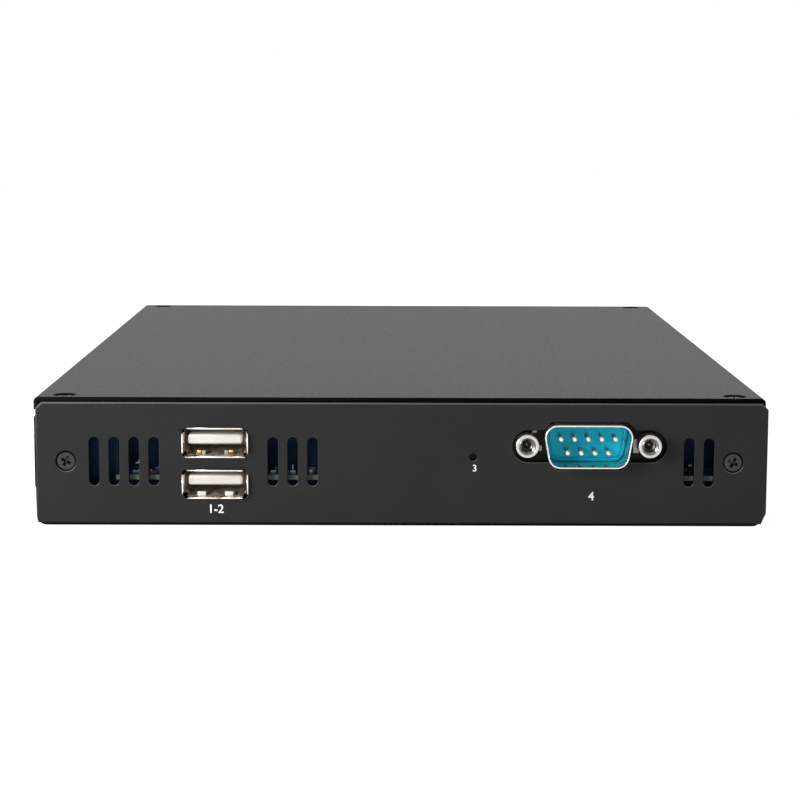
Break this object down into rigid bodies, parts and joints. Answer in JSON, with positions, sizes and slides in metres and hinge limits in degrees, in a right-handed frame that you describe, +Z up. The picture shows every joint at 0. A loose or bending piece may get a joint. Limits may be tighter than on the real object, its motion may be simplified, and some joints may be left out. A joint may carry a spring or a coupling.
{
  "type": "fanless industrial pc",
  "caption": "Low black steel box computer: slotted front panel with stacked ports, a pinhole switch and a nine-pin port, and a plain cover that carries the heat away.",
  "frame": {"origin": "middle of the overall length and of the case's width, on the surface that the case stands on", "axes": "+X to the right as seen from the front, +Y from the front panel to the rear panel, +Z up"},
  "size_m": [0.1505, 0.2048, 0.0266],
  "materials": {
    "black_powder_coat": "fine-textured matt black powder coat on sheet steel",
    "blackened_steel": "black zinc plate",
    "circuit_board": "solder mask on glass-fibre board",
    "plated_steel": "bright zinc plate",
    "package_plastic": "moulded epoxy",
    "thermal_rubber": "soft silicone pad",
    "bare_aluminium": "machined",
    "black_plastic": "moulded",
    "white_plastic": "moulded",
    "nickel_plate": "bright nickel on sheet steel",
    "gold_plate": "thin gold over nickel",
    "teal_plastic": "moulded",
    "lamp_lens": "clear tinted lens"
  },
  "bodies": {
    "case": {"top_cover": "black_powder_coat", "chassis_tray": "black_powder_coat", "front_panel": "black_powder_coat", "rear_panel": "black_powder_coat", "cover_screws": "blackened_steel", "panel_screws": "blackened_steel", "motherboard": "circuit_board", "board_standoffs": "plated_steel", "board_screws": "plated_steel", "processor": "package_plastic", "die_pad": "thermal_rubber", "cover_pad": "thermal_rubber", "heat_block": "bare_aluminium", "block_screws": "plated_steel", "memory_module": "circuit_board", "memory_socket": "black_plastic", "memory_chips": "package_plastic", "storage_module": "circuit_board", "storage_socket": "black_plastic", "storage_chips": "package_plastic", "storage_standoff": "plated_steel", "storage_screw": "plated_steel", "cell_holder": "black_plastic", "coin_cell": "plated_steel", "power_chokes": "package_plastic", "filter_capacitors": "bare_aluminium", "controller_chips": "package_plastic", "edge_parts": "white_plastic", "clear_switch": "black_plastic", "front_port_shell": "nickel_plate", "front_port_tongues": "white_plastic", "front_port_contacts": "gold_plate", "rear_port_shell": "nickel_plate", "rear_port_tongues": "white_plastic", "rear_port_contacts": "gold_plate", "serial_shell": "nickel_plate", "serial_insulator": "teal_plastic", "serial_pins": "gold_plate", "serial_bracket": "plated_steel", "serial_jackscrews": "nickel_plate", "network_shell_left": "nickel_plate", "network_shell_right": "nickel_plate", "network_insert_left": "black_plastic", "network_insert_right": "black_plastic", "network_contacts": "gold_plate", "video_shell": "nickel_plate", "video_insert": "black_plastic", "power_jack": "black_plastic", "power_jack_pin": "nickel_plate", "power_switch": "black_plastic", "status_lamp": "lamp_lens"},
    "power_button": {"power_button": "black_plastic"},
    "clear_plunger": {"clear_plunger": "white_plastic"}
  },
  "joints": [
    {"name": "power_button_press", "type": "slide", "parent": "case", "child": "power_button", "axis": [0, -1, 0], "range_m": [0, 0.001], "stiffness_N_per_m": 1500, "springref_m": -0.0004},
    {"name": "clear_plunger_press", "type": "slide", "parent": "case", "child": "clear_plunger", "axis": [0, 1, 0], "range_m": [0, 0.00025], "stiffness_N_per_m": 3000, "springref_m": -0.0001}
  ]
}
